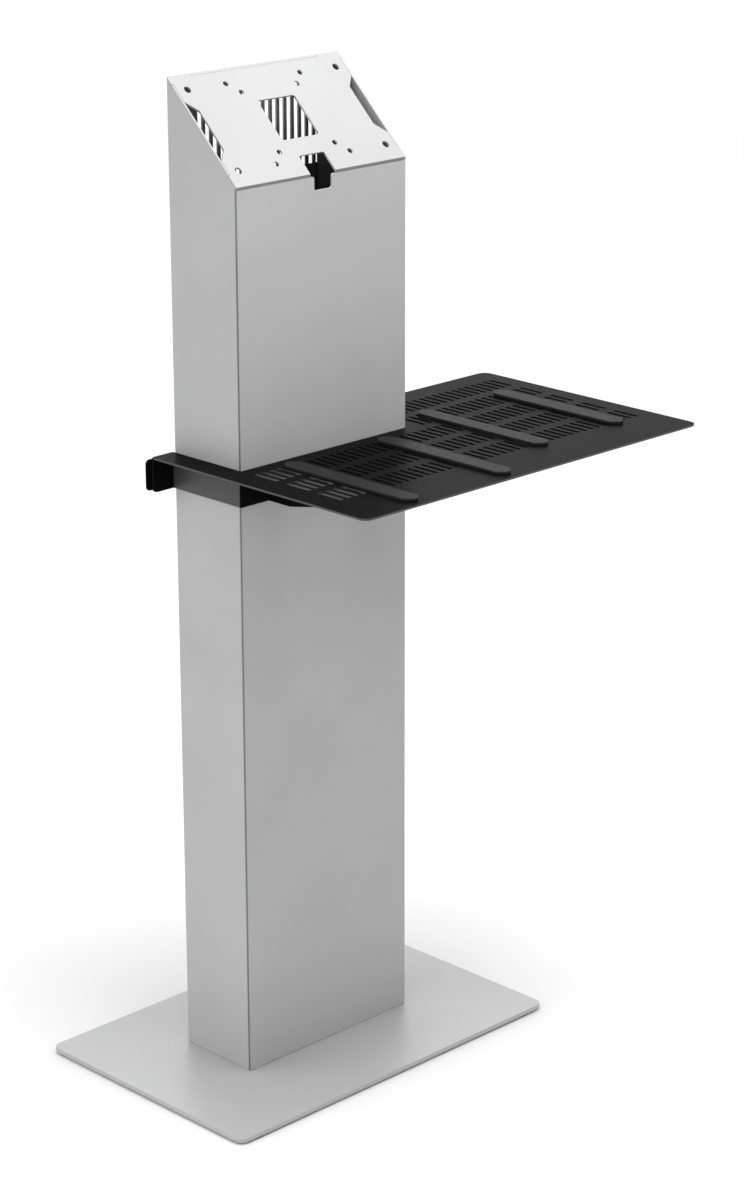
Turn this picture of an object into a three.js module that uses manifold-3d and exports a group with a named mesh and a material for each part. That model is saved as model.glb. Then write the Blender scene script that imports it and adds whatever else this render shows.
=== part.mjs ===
// A floor-standing display column: a flat base plate, a sheet-metal column with a sloping
// head plate for a small screen, and a perforated equipment shelf that is clamped round the
// column and slides up and down it.
// Millimetres, +Z up. The origin is on the floor under the centre of the base plate,
// +X to the right and -Y towards the person who uses the screen.
import * as THREE from "three";
import { mergeVertices } from "three/addons/utils/BufferGeometryUtils.js";
import Module from "manifold-3d";

const wasm = await Module();
wasm.setup();

// ---- driving dimensions ----------------------------------------------------------------
const GAP = 0.3; // clearance between pieces that are welded, glued or screwed together
const SHEET = 2; // thickness of every folded sheet

const PAD = { thickness: 2.5, radius: 21, insetX: 27, insetY: 23 };
const BASE = { width: 450, depth: 300, thickness: 5, corner: 12 };
const BASE_TOP = PAD.thickness + BASE.thickness;

const COLUMN = { width: 230, depth: 98, front: -44, frontLip: 16, rearLip: 32 };
const COLUMN_HALF = COLUMN.width / 2;
const COLUMN_REAR = COLUMN.front + COLUMN.depth;
const INNER_HALF = COLUMN_HALF - SHEET;
const COLUMN_FOOT = BASE_TOP + GAP;

const HEAD = {
  frontHeight: BASE_TOP + 938, // front top edge of the head plate
  angle: THREE.MathUtils.degToRad(44.3), // slope of the head plate from the horizontal
  earFront: 15, // the plate is full width this far up its slope
  earRear: 10, // and over this length at its rear edge
  rearTongue: 85, // half width of the rear panel's tongue
  window: 50,
  windowCorner: 4,
};
const HEAD_RUN = COLUMN.depth / Math.cos(HEAD.angle); // length of the head plate up its slope
const HEAD_MIDDLE = HEAD_RUN / 2;

const SIDE_CUT = { inner: 101.5, innerLength: 48, outerLength: 73 };
const CABLE_SLOT = { half: 17, length: 23, corner: 3 };
const NOTCH = { half: 11.8, depth: 17, corner: 3, flare: 3 };

const SCREEN_HOLES = [
  { x: 100, v: 50, radius: 4 },
  { x: 50, v: 50, radius: 3.1 },
  { x: 37.5, v: 37.5, radius: 3.1 },
];

const VENT = { pitch: 10, width: 6, outermost: 85, low: BASE_TOP + 924, high: BASE_TOP + 1012 };
const REAR_OUTLET = { half: 20, height: 24, corner: 6 };
const REAR_SCREW = { x: 97, heights: [60, 500, 960], head: 3.8, shank: 2, length: 9 };

const FOOT = { thickness: 4, screwX: 80, screwY: 28, head: 6, shank: 3, length: 16 };

const HOOK = { x: 105, width: 2, height: 20, heights: [250, 780], reach: 7 };

const SHELF = {
  top: BASE_TOP + 656,
  left: -144,
  right: 341,
  front: COLUMN.front - 204.5,
  rear: COLUMN.front + 100.7,
  corner: 12,
  armCorner: 3,
  clearance: 0.6, // between the shelf and the column
  tabDrop: 37,
  tabCorner: 5,
};
const SHELF_UNDER = SHELF.top - SHEET;

const SLOT = { pitch: 10, width: 4.6, length: 32, firstX: -112.5, lastX: 317.5, firstRightX: 137.5 };
const SLOT_ROWS_FRONT = [-125, -80, -35]; // row centres behind the column's front face
const SLOT_ROWS_SIDE = [10, 55];

const STRIP = { width: 21.4, length: 180, thickness: 3.2, chamfer: 8 };
const STRIP_PLACES = [
  { x: -67, front: -195 },
  { x: 63.2, front: -195 },
  { x: 166.9, front: -150 },
  { x: 282.6, front: -150 },
];

const COLLAR_BOTTOM = BASE_TOP + 619;
const COLLAR_TOP = SHELF_UNDER - GAP;
const RAIL = { right: 316, endHeight: 12 };
const RIB = { flat: 30, tip: 196, tipHeight: 2, x: 79.5, farX: 238 };

const CLAMP = { bottom: BASE_TOP + 618, top: BASE_TOP + 650.4, ear: 110, half: 143, webHalf: 113.5, corner: 5 };
const CLAMP_SCREW = { x: 131.5, z: BASE_TOP + 640.5, head: 4.4, headLength: 5, shank: 2.5, length: 11.1 };
const CLAMP_NUT = { flats: 8, thickness: 3.4 };
const TAB_HOLE = 1.6; // radius of the pilot hole in each tab, in front of its nut

// ---- finishes --------------------------------------------------------------------------
function lightPaint() {
  return new THREE.MeshStandardMaterial({ color: 0xd6d6d6, roughness: 0.55, metalness: 0.1 });
}

function blackPaint() {
  return new THREE.MeshStandardMaterial({ color: 0x1b1b1c, roughness: 0.6, metalness: 0.1 });
}

function rubber() {
  return new THREE.MeshStandardMaterial({ color: 0x3a3a3a, roughness: 0.85, metalness: 0 });
}

function zincSteel() {
  return new THREE.MeshStandardMaterial({ color: 0xb8b9bb, roughness: 0.35, metalness: 1 });
}

// ---- solids ----------------------------------------------------------------------------
function solid(geometry) {
  const bare = geometry.clone();
  bare.deleteAttribute("normal");
  bare.deleteAttribute("uv");
  const merged = mergeVertices(bare, 1e-4);
  return new wasm.Manifold(
    new wasm.Mesh({
      numProp: 3,
      vertProperties: new Float32Array(merged.attributes.position.array),
      triVerts: new Uint32Array(merged.index.array),
    }),
  );
}

function geometryOf(body) {
  const mesh = body.getMesh();
  const geometry = new THREE.BufferGeometry();
  geometry.setAttribute("position", new THREE.BufferAttribute(mesh.vertProperties, 3));
  geometry.setIndex(new THREE.BufferAttribute(mesh.triVerts, 1));
  const flat = geometry.toNonIndexed();
  flat.computeVertexNormals();
  return flat;
}

function block(x0, x1, y0, y1, z0, z1) {
  const geometry = new THREE.BoxGeometry(x1 - x0, y1 - y0, z1 - z0);
  return geometry.translate((x0 + x1) / 2, (y0 + y1) / 2, (z0 + z1) / 2);
}

function joined(...geometries) {
  return geometries.map(solid).reduce((whole, next) => whole.add(next));
}

function without(body, ...geometries) {
  return geometries.map(solid).reduce((whole, next) => whole.subtract(next), body);
}

// A closed path through corners, each a point with an optional fillet radius.
function roundedPath(corners) {
  const path = new THREE.Shape();
  const count = corners.length;
  corners.forEach(([x, y, radius = 0], i) => {
    const before = corners[(i + count - 1) % count];
    const after = corners[(i + 1) % count];
    const inward = new THREE.Vector2(before[0] - x, before[1] - y).normalize();
    const outward = new THREE.Vector2(after[0] - x, after[1] - y).normalize();
    const half = Math.acos(THREE.MathUtils.clamp(inward.dot(outward), -1, 1)) / 2;
    const reach = radius ? radius / Math.tan(half) : 0;
    const start = [x + inward.x * reach, y + inward.y * reach];
    const end = [x + outward.x * reach, y + outward.y * reach];
    if (i === 0) path.moveTo(...start);
    else path.lineTo(...start);
    if (radius) path.quadraticCurveTo(x, y, ...end);
  });
  path.closePath();
  return path;
}

function rectangle(x0, x1, y0, y1, radius = 0) {
  return roundedPath([
    [x0, y0, radius],
    [x1, y0, radius],
    [x1, y1, radius],
    [x0, y1, radius],
  ]);
}

// A drill along Z, centred on a point and long enough to pass through any sheet.
function drill(x, y, z, radius, length = 20) {
  const geometry = new THREE.CylinderGeometry(radius, radius, length, 16);
  return geometry.rotateX(Math.PI / 2).translate(x, y, z);
}

// A drill along Y, centred on a point.
function crossDrill(x, y, z, radius, length = 8) {
  return new THREE.CylinderGeometry(radius, radius, length, 16).translate(x, y, z);
}

function extruded(shape, depth, curveSegments = 6) {
  return new THREE.ExtrudeGeometry(shape, { depth, bevelEnabled: false, curveSegments });
}

// A shape drawn in X and Z, extruded from the plane y0 towards +Y.
function upright(shape, y0, depth, curveSegments) {
  const geometry = extruded(shape, depth, curveSegments).rotateX(Math.PI / 2);
  return geometry.translate(0, y0 + depth, 0);
}

// A shape drawn in Y and Z, extruded from the plane x0 towards +X.
function sideways(shape, x0, depth) {
  const geometry = extruded(shape, depth).rotateZ(Math.PI / 2).rotateY(Math.PI / 2);
  return geometry.translate(x0, 0, 0);
}

// A countersunk screw with its flat head at the origin and its shank along +Z.
function countersunkScrew(head, shank, length) {
  const slope = head - shank;
  const profile = [
    [0, 0],
    [head, 0],
    [shank, slope],
    [shank, length],
    [0, length],
  ].map(([r, z]) => new THREE.Vector2(r, z));
  return new THREE.LatheGeometry(profile, 12).rotateX(Math.PI / 2);
}

// A socket-head screw: the head's top at the origin, the shank along +Z.
function socketScrew(head, headLength, shank, length) {
  const socket = shank * 0.9;
  const profile = [
    [0, headLength * 0.5],
    [socket, headLength * 0.5],
    [socket, 0],
    [head, 0],
    [head, headLength],
    [shank, headLength],
    [shank, headLength + length],
    [0, headLength + length],
  ].map(([r, z]) => new THREE.Vector2(r, z));
  return new THREE.LatheGeometry(profile, 12).rotateX(Math.PI / 2);
}

// A hexagonal nut with a plain hole, its underside at the origin and its body along +Z.
function hexNut(flats, thickness, hole) {
  const shape = new THREE.Shape();
  for (let i = 0; i < 6; i++) {
    const angle = (i * Math.PI) / 3;
    const reach = flats / Math.sqrt(3);
    if (i === 0) shape.moveTo(reach, 0);
    else shape.lineTo(reach * Math.cos(angle), reach * Math.sin(angle));
  }
  shape.closePath();
  return geometryOf(without(solid(extruded(shape, thickness)), drill(0, 0, 0, hole)));
}

const FACING_FRONT = new THREE.Euler(Math.PI / 2, 0, 0); // local +Z looks along -Y

// ---- the assembly ----------------------------------------------------------------------
const stand = new THREE.Group();
const base = new THREE.Group();
const column = new THREE.Group();
const head = new THREE.Group();
const shelf = new THREE.Group();
const clamp = new THREE.Group();
stand.add(base, column, head, shelf, clamp);

function place(group, name, geometry, material, position = [0, 0, 0], rotation = null) {
  const mesh = new THREE.Mesh(geometry, material);
  mesh.name = name;
  mesh.position.set(...position);
  if (rotation) mesh.rotation.copy(rotation);
  group.add(mesh);
  return mesh;
}

// ---- base ------------------------------------------------------------------------------
function footScrewPlaces() {
  const middle = (COLUMN.front + COLUMN_REAR) / 2;
  const places = [];
  for (const sx of [-1, 1]) {
    for (const sy of [-1, 1]) places.push([sx * FOOT.screwX, middle + sy * FOOT.screwY]);
  }
  return places;
}

function makeBasePlate() {
  const w = BASE.width / 2;
  const d = BASE.depth / 2;
  const outline = rectangle(-w, w, -d, d, BASE.corner);
  const plate = solid(extruded(outline, BASE.thickness).translate(0, 0, PAD.thickness));
  const drills = footScrewPlaces().map(([x, y]) =>
    countersunkScrew(FOOT.head + GAP, FOOT.shank + GAP, BASE.thickness + 2).translate(x, y, PAD.thickness),
  );
  place(base, "base_plate", geometryOf(without(plate, ...drills)), lightPaint());
}

function makeFootPads() {
  let number = 1;
  for (const sy of [-1, 1]) {
    for (const sx of [-1, 1]) {
      const x = sx * (BASE.width / 2 - PAD.insetX);
      const y = sy * (BASE.depth / 2 - PAD.insetY);
      const disc = new THREE.CylinderGeometry(PAD.radius, PAD.radius, PAD.thickness, 32);
      disc.rotateX(Math.PI / 2);
      place(base, `foot_pad_${number}`, disc, rubber(), [x, y, PAD.thickness / 2]);
      number += 1;
    }
  }
}

function makeFoot() {
  const x = INNER_HALF - GAP;
  const y0 = COLUMN.front + 3 * SHEET;
  const y1 = COLUMN_REAR - 3 * SHEET;
  const plate = solid(extruded(rectangle(-x, x, y0, y1, 3), FOOT.thickness));
  const drills = footScrewPlaces().map(([px, py]) => drill(px, py, 0, FOOT.shank + GAP));
  place(base, "foot_plate", geometryOf(without(plate, ...drills)), lightPaint(), [0, 0, COLUMN_FOOT]);
  footScrewPlaces().forEach(([px, py], i) => {
    const screw = countersunkScrew(FOOT.head, FOOT.shank, FOOT.length);
    const nut = hexNut(10, 4, FOOT.shank + GAP);
    const nutFoot = COLUMN_FOOT + FOOT.thickness + GAP;
    place(base, `foot_screw_${i + 1}`, screw, zincSteel(), [px, py, PAD.thickness + GAP]);
    place(base, `foot_nut_${i + 1}`, nut, zincSteel(), [px, py, nutFoot]);
  });
}

// ---- column ----------------------------------------------------------------------------
// Height of the head plate's top surface above the point y of the column's depth.
function headTop(y) {
  return HEAD.frontHeight + (y - COLUMN.front) * Math.tan(HEAD.angle);
}

// The point v up the head plate's slope and n above its top surface, as [y, z].
function onHead(v, n = 0) {
  const c = Math.cos(HEAD.angle);
  const s = Math.sin(HEAD.angle);
  return [COLUMN.front + v * c - n * s, HEAD.frontHeight + v * s + n * c];
}

// Turns a geometry drawn flat on the head plate, with v along Y, into its place.
function onSlope(geometry) {
  return geometry.rotateX(HEAD.angle).translate(0, COLUMN.front, HEAD.frontHeight);
}

// The outline of one side wall in Y and Z. Between the head plate's ears its top edge is
// flush with the plate, and under the ears it stays below the plate.
function sideOutline() {
  const front = COLUMN.front + SHEET + 0.8;
  const under = -SHEET - GAP;
  const [frontY, frontZ] = onHead(0, under);
  const drop = (front - frontY) * Math.tan(HEAD.angle);
  const rearUnder = headTop(COLUMN_REAR) - (SHEET + GAP) / Math.cos(HEAD.angle);
  const v0 = HEAD.earFront + GAP;
  const v1 = HEAD_RUN - HEAD.earRear - GAP;
  return roundedPath([
    [front, COLUMN_FOOT],
    [COLUMN_REAR, COLUMN_FOOT],
    [COLUMN_REAR, rearUnder],
    onHead(v1, under),
    onHead(v1),
    onHead(v0),
    onHead(v0, under),
    [front, frontZ + drop],
  ]);
}

function makeSide(name, side) {
  const front = COLUMN.front + SHEET + 0.8;
  const rear = COLUMN_REAR - SHEET - GAP;
  const belowHead = 2 * (SHEET + GAP);
  const outer = side > 0 ? COLUMN_HALF - SHEET : -COLUMN_HALF;
  const wall = sideways(sideOutline(), outer, SHEET);
  const edge = side * (COLUMN_HALF - SHEET / 2);
  const lip = (width, y) => {
    const inner = side * (COLUMN_HALF - width);
    const top = headTop(y) - belowHead;
    return block(Math.min(edge, inner), Math.max(edge, inner), y, y + SHEET, COLUMN_FOOT, top);
  };
  const body = joined(wall, lip(COLUMN.frontLip, front), lip(COLUMN.rearLip, rear - SHEET));
  const hookSlots = HOOK.heights.map((z) => {
    const x = side * HOOK.x;
    return block(x - 2.5, x + 2.5, front - 1, front + SHEET + 1, z - 13, z + HOOK.height);
  });
  const screwHoles = REAR_SCREW.heights.map((z) =>
    crossDrill(side * REAR_SCREW.x, rear - SHEET / 2, z, REAR_SCREW.shank + GAP),
  );
  const finished = without(body, ...hookSlots, ...screwHoles);
  place(column, name, geometryOf(finished), lightPaint());
}

// The front panel's outline in X and Z, with the cable notch in its top edge.
function frontPanelOutline() {
  const x = COLUMN_HALF;
  const top = HEAD.frontHeight - SHEET / Math.cos(HEAD.angle) - GAP;
  const bottom = HEAD.frontHeight - NOTCH.depth;
  const n = NOTCH.half;
  return roundedPath([
    [-x, COLUMN_FOOT],
    [x, COLUMN_FOOT],
    [x, top],
    [n, top, NOTCH.flare],
    [n, bottom, NOTCH.corner],
    [-n, bottom, NOTCH.corner],
    [-n, top, NOTCH.flare],
    [-x, top],
  ]);
}

function makeFrontPanel() {
  const panel = upright(frontPanelOutline(), COLUMN.front, SHEET);
  place(column, "front_panel", panel, lightPaint());
}

// A hook behind the front panel: it passes through a slot in the side wall's lip and drops
// behind it.
function makePanelHooks() {
  const y0 = COLUMN.front + SHEET + GAP;
  const behindLip = COLUMN.front + 2 * SHEET + 0.8 + GAP;
  const end = y0 + HOOK.reach;
  const outline = roundedPath([
    [y0, 0],
    [behindLip, 0],
    [behindLip, -12],
    [end, -12],
    [end, HOOK.height - 4],
    [y0, HOOK.height - 4],
  ]);
  let number = 1;
  for (const z of HOOK.heights) {
    for (const sx of [-1, 1]) {
      const hook = sideways(outline, sx * HOOK.x - HOOK.width / 2, HOOK.width);
      place(column, `panel_hook_${number}`, hook, lightPaint(), [0, 0, z]);
      number += 1;
    }
  }
}

// The rear panel's outline in X and Z: a cable outlet at the foot, and a tongue at the top
// that ends flush with the head plate.
function rearPanelOutline() {
  const x = INNER_HALF - GAP;
  const under = headTop(COLUMN_REAR - SHEET) - (SHEET + GAP) / Math.cos(HEAD.angle);
  const tongue = HEAD.rearTongue - GAP;
  const tongueTop = headTop(COLUMN_REAR) + 1;
  const o = REAR_OUTLET;
  return roundedPath([
    [-x, COLUMN_FOOT],
    [-o.half, COLUMN_FOOT],
    [-o.half, COLUMN_FOOT + o.height, o.corner],
    [o.half, COLUMN_FOOT + o.height, o.corner],
    [o.half, COLUMN_FOOT],
    [x, COLUMN_FOOT],
    [x, under],
    [tongue, under],
    [tongue, tongueTop],
    [-tongue, tongueTop],
    [-tongue, under],
    [-x, under],
  ]);
}

function makeRearPanel() {
  const panel = solid(upright(rearPanelOutline(), COLUMN_REAR - SHEET, SHEET));
  const vents = [];
  for (let x = -VENT.outermost; x <= VENT.outermost; x += VENT.pitch) {
    const w = VENT.width / 2;
    vents.push(block(x - w, x + w, COLUMN_REAR - 2 * SHEET, COLUMN_REAR + SHEET, VENT.low, VENT.high));
  }
  const sinks = [];
  let number = 1;
  for (const sx of [-1, 1]) {
    for (const z of REAR_SCREW.heights) {
      const at = [sx * REAR_SCREW.x, COLUMN_REAR - 0.1, z];
      const sink = countersunkScrew(REAR_SCREW.head + GAP, REAR_SCREW.shank + GAP, REAR_SCREW.length);
      sinks.push(sink.rotateX(Math.PI / 2).translate(at[0], COLUMN_REAR, at[2]));
      const screw = countersunkScrew(REAR_SCREW.head, REAR_SCREW.shank, REAR_SCREW.length);
      place(column, `rear_screw_${number}`, screw, zincSteel(), at, FACING_FRONT);
      number += 1;
    }
  }
  const above = block(-COLUMN_HALF, COLUMN_HALF, -SHEET, HEAD_RUN + 3 * SHEET, 0, 4 * SHEET);
  const cut = without(panel, ...vents, ...sinks, onSlope(above));
  place(column, "rear_panel", geometryOf(cut), lightPaint());
}

// ---- head plate ------------------------------------------------------------------------
// Drawn flat with v running up the slope. The ears at the four corners reach over the side
// walls, and the side walls and the rear tongue fill the recesses between the ears. The
// plate ends upright, in line with the column's front and rear faces.
function headOutline() {
  const x = COLUMN_HALF;
  const inner = INNER_HALF - GAP;
  const front = HEAD.earFront;
  const rear = HEAD_RUN - HEAD.earRear;
  const past = HEAD_RUN + 2 * SHEET;
  const cut = SIDE_CUT;
  const half = (sign) => [
    [sign * inner, HEAD_MIDDLE - cut.outerLength / 2],
    [sign * cut.inner, HEAD_MIDDLE - cut.innerLength / 2, 4],
    [sign * cut.inner, HEAD_MIDDLE + cut.innerLength / 2, 4],
    [sign * inner, HEAD_MIDDLE + cut.outerLength / 2],
  ];
  const slot = CABLE_SLOT;
  return roundedPath([
    [-x, -2 * SHEET],
    [-slot.half, -2 * SHEET],
    [-slot.half, slot.length, slot.corner],
    [slot.half, slot.length, slot.corner],
    [slot.half, -2 * SHEET],
    [x, -2 * SHEET],
    [x, front],
    [inner, front],
    ...half(1),
    [inner, rear],
    [x, rear],
    [x, past],
    [-x, past],
    [-x, rear],
    [-inner, rear],
    ...half(-1).reverse(),
    [-inner, front],
    [-x, front],
  ]);
}

function makeHeadPlate() {
  const plate = solid(extruded(headOutline(), SHEET, 8).translate(0, 0, -SHEET));
  const w = HEAD.window / 2;
  const window = rectangle(-w, w, HEAD_MIDDLE - w, HEAD_MIDDLE + w, HEAD.windowCorner);
  const cutters = [extruded(window, 3 * SHEET, 8).translate(0, 0, -2 * SHEET)];
  for (const hole of SCREEN_HOLES) {
    for (const sx of [-1, 1]) {
      for (const sv of [-1, 1]) {
        cutters.push(drill(sx * hole.x, HEAD_MIDDLE + sv * hole.v, 0, hole.radius));
      }
    }
  }
  const sloping = solid(onSlope(geometryOf(without(plate, ...cutters))));
  const t = HEAD.rearTongue;
  const inFront = COLUMN_REAR - SHEET - GAP;
  const bounds = block(-COLUMN_HALF, COLUMN_HALF, COLUMN.front, COLUMN_REAR, BASE_TOP, 2 * HEAD.frontHeight);
  const recess = block(-t, t, inFront, COLUMN_REAR + SHEET, HEAD.frontHeight, 2 * HEAD.frontHeight);
  const trimmed = without(sloping.intersect(solid(bounds)), recess);
  place(head, "head_plate", geometryOf(trimmed), lightPaint());
}

// ---- shelf -----------------------------------------------------------------------------
function shelfOutline() {
  const c = COLUMN_HALF + SHELF.clearance;
  const front = COLUMN.front - SHELF.clearance;
  return roundedPath([
    [SHELF.left, SHELF.front, SHELF.corner],
    [SHELF.right, SHELF.front, SHELF.corner],
    [SHELF.right, SHELF.rear, SHELF.corner],
    [c, SHELF.rear],
    [c, front],
    [-c, front],
    [-c, SHELF.rear],
    [SHELF.left, SHELF.rear, SHELF.armCorner],
  ]);
}

function slotHole(x, row) {
  const y = COLUMN.front + row;
  const w = SLOT.width / 2;
  const l = SLOT.length / 2;
  return block(x - w, x + w, y - l, y + l, SHELF_UNDER - SHEET, SHELF.top + SHEET);
}

// The tab that hangs from the rear end of each arm, drawn in X and Z.
function armTab(side) {
  const inner = side * (COLUMN_HALF + SHELF.clearance);
  const outer = side * Math.abs(SHELF.left);
  const x0 = Math.min(inner, outer);
  const x1 = Math.max(inner, outer);
  const bottom = SHELF.top - SHELF.tabDrop;
  const outline = roundedPath([
    [x0, bottom, side < 0 ? SHELF.tabCorner : 0],
    [x1, bottom, side > 0 ? SHELF.tabCorner : 0],
    [x1, SHELF.top - SHEET / 2],
    [x0, SHELF.top - SHEET / 2],
  ]);
  return upright(outline, SHELF.rear - SHEET, SHEET, 4);
}

// The two clamp screws' holes through whatever stands at y.
function clampDrills(y, radius) {
  return [-1, 1].map((side) => crossDrill(side * CLAMP_SCREW.x, y, CLAMP_SCREW.z, radius));
}

function makeShelfPlate() {
  const plate = extruded(shelfOutline(), SHEET).translate(0, 0, SHELF_UNDER);
  const body = joined(plate, armTab(-1), armTab(1));
  const cutters = clampDrills(SHELF.rear, TAB_HOLE);
  for (let x = SLOT.firstX; x <= SLOT.lastX; x += SLOT.pitch) {
    for (const row of SLOT_ROWS_FRONT) cutters.push(slotHole(x, row));
    if (x < SLOT.firstRightX) continue;
    for (const row of SLOT_ROWS_SIDE) cutters.push(slotHole(x, row));
  }
  place(shelf, "shelf_plate", geometryOf(without(body, ...cutters)), blackPaint());
}

function makeGripStrips() {
  const w = STRIP.width / 2;
  const c = STRIP.chamfer;
  const outline = roundedPath([
    [-w, c],
    [-w + c, 0],
    [w - c, 0],
    [w, c],
    [w, STRIP.length - c],
    [w - c, STRIP.length],
    [-w + c, STRIP.length],
    [-w, STRIP.length - c],
  ]);
  STRIP_PLACES.forEach(({ x, front }, i) => {
    const at = [x, COLUMN.front + front, SHELF.top];
    place(shelf, `grip_strip_${i + 1}`, extruded(outline, STRIP.thickness), rubber(), at);
  });
}

function makeCollar() {
  const near = COLUMN_HALF + SHELF.clearance;
  const far = near + SHEET;
  const front = COLUMN.front - SHELF.clearance;
  const rear = SHELF.rear - SHEET - GAP;
  const left = block(-far, -near, front + GAP, rear, COLLAR_BOTTOM, COLLAR_TOP);
  const right = block(near, far, front + GAP, rear, COLLAR_BOTTOM, COLLAR_TOP);
  place(shelf, "collar_left", left, blackPaint());
  place(shelf, "collar_right", right, blackPaint());
  const rail = roundedPath([
    [-far, COLLAR_BOTTOM],
    [far, COLLAR_BOTTOM],
    [RAIL.right, COLLAR_TOP - RAIL.endHeight],
    [RAIL.right, COLLAR_TOP],
    [-far, COLLAR_TOP],
  ]);
  place(shelf, "collar_rail", upright(rail, front - SHEET, SHEET), blackPaint());
}

// A gusset that hangs under the shelf, from y0 to y1, deepest at its y0 end.
function gusset(x, y0, y1, flat) {
  const turn = y0 + Math.sign(y1 - y0) * flat;
  const corners = [
    [y0, COLLAR_BOTTOM],
    [y0, COLLAR_TOP],
    [y1, COLLAR_TOP],
    [y1, COLLAR_TOP - RIB.tipHeight],
    [turn, COLLAR_BOTTOM],
  ];
  return sideways(roundedPath(y1 > y0 ? corners.reverse() : corners), x - SHEET / 2, SHEET);
}

function makeRibs() {
  const front = COLUMN.front - SHELF.clearance - SHEET - GAP;
  const tip = COLUMN.front - RIB.tip;
  for (const [name, x] of [["rib_left", -RIB.x], ["rib_right", RIB.x]]) {
    place(shelf, name, gusset(x, front, tip, RIB.flat), blackPaint());
  }
  const shallow = (RIB.farX - COLUMN_HALF) / (RAIL.right - COLUMN_HALF);
  const depth = COLLAR_TOP - COLLAR_BOTTOM - shallow * (COLLAR_TOP - COLLAR_BOTTOM - RAIL.endHeight);
  const behind = COLUMN.front - SHELF.clearance + GAP;
  for (const [name, y0, y1] of [["rib_far_front", front, tip], ["rib_far_rear", behind, SHELF.rear - 12]]) {
    const outline = roundedPath([
      [Math.min(y0, y1), COLLAR_TOP - (y0 < y1 ? depth : RIB.tipHeight)],
      [Math.max(y0, y1), COLLAR_TOP - (y0 < y1 ? RIB.tipHeight : depth)],
      [Math.max(y0, y1), COLLAR_TOP],
      [Math.min(y0, y1), COLLAR_TOP],
    ]);
    place(shelf, name, sideways(outline, RIB.farX - SHEET / 2, SHEET), blackPaint());
  }
}

// ---- rear clamp ------------------------------------------------------------------------
// A hat-shaped strip: its web lies on the column's rear face, and its two ears stand behind
// the shelf's tabs.
function makeRearClamp() {
  const web = COLUMN_REAR + GAP;
  const ear = COLUMN.front + CLAMP.ear;
  const w = CLAMP.webHalf;
  const h = CLAMP.half;
  const strip = roundedPath([
    [-h, ear],
    [-w, ear],
    [-w, web],
    [w, web],
    [w, ear],
    [h, ear],
    [h, ear + SHEET],
    [w - SHEET, ear + SHEET],
    [w - SHEET, web + SHEET],
    [-w + SHEET, web + SHEET],
    [-w + SHEET, ear + SHEET],
    [-h, ear + SHEET],
  ]);
  const bar = solid(extruded(strip, CLAMP.top - CLAMP.bottom).translate(0, 0, CLAMP.bottom));
  const rounded = rectangle(-h, h, CLAMP.bottom, CLAMP.top, CLAMP.corner);
  const silhouette = solid(upright(rounded, web - 1, ear + 2 * SHEET - web + 1, 4));
  const drilled = without(bar.intersect(silhouette), ...clampDrills(ear, CLAMP_SCREW.shank + GAP));
  place(clamp, "rear_clamp", geometryOf(drilled), blackPaint());
}

function makeClampFasteners() {
  const s = CLAMP_SCREW;
  const headRear = COLUMN.front + CLAMP.ear + SHEET + GAP + s.headLength;
  const nutRear = SHELF.rear + GAP + CLAMP_NUT.thickness;
  for (const [side, sx] of [["left", -1], ["right", 1]]) {
    const screw = socketScrew(s.head, s.headLength, s.shank, s.length);
    const nut = hexNut(CLAMP_NUT.flats, CLAMP_NUT.thickness, s.shank + GAP);
    place(clamp, `clamp_screw_${side}`, screw, zincSteel(), [sx * s.x, headRear, s.z], FACING_FRONT);
    place(shelf, `clamp_nut_${side}`, nut, blackPaint(), [sx * s.x, nutRear, s.z], FACING_FRONT);
  }
}

makeBasePlate();
makeFootPads();
makeFoot();
makeSide("side_left", -1);
makeSide("side_right", 1);
makeFrontPanel();
makePanelHooks();
makeRearPanel();
makeHeadPlate();
makeShelfPlate();
makeGripStrips();
makeCollar();
makeRibs();
makeRearClamp();
makeClampFasteners();

export default stand;
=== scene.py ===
"""Looks of a floor-standing display column with a sloping screen head and a clamped shelf.

Every size is in metres, +Z is up and -Y is towards the person who uses the screen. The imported
CAD frame gives the places: each sub-assembly copies the sheets whose shape is right, rounds
their folds and cut edges, builds its own screws, nuts, pads and weld seams, and dresses all of
them in finishes made from shader nodes.
"""

import logging
import math
from collections.abc import Callable, Iterable, Sequence
from dataclasses import dataclass
from enum import Enum

import bmesh
import bpy
from mathutils import Euler, Matrix, Vector


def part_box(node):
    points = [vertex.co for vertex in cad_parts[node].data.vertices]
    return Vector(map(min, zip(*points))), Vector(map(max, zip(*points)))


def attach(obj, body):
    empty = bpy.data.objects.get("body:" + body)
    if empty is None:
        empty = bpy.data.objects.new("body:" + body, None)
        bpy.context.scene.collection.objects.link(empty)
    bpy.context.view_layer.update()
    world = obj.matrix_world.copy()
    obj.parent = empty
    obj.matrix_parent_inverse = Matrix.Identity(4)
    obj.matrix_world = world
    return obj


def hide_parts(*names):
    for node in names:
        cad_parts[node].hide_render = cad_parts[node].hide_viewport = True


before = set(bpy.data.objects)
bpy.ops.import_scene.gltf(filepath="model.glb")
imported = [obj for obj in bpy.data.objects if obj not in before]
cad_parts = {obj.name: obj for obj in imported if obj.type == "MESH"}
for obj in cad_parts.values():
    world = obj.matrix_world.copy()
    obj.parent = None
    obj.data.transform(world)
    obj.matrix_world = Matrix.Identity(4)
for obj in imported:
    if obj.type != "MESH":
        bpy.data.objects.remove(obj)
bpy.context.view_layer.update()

LOG = logging.getLogger("display_stand")
TOUCH = 1e-4  # how near two places are that count as one

Colour = tuple[float, float, float]
Point = tuple[float, float, float]
Socket = bpy.types.NodeSocket


class Side(Enum):
    """The two sides of the stand, as the sign of X."""

    LEFT = -1
    RIGHT = 1


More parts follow.
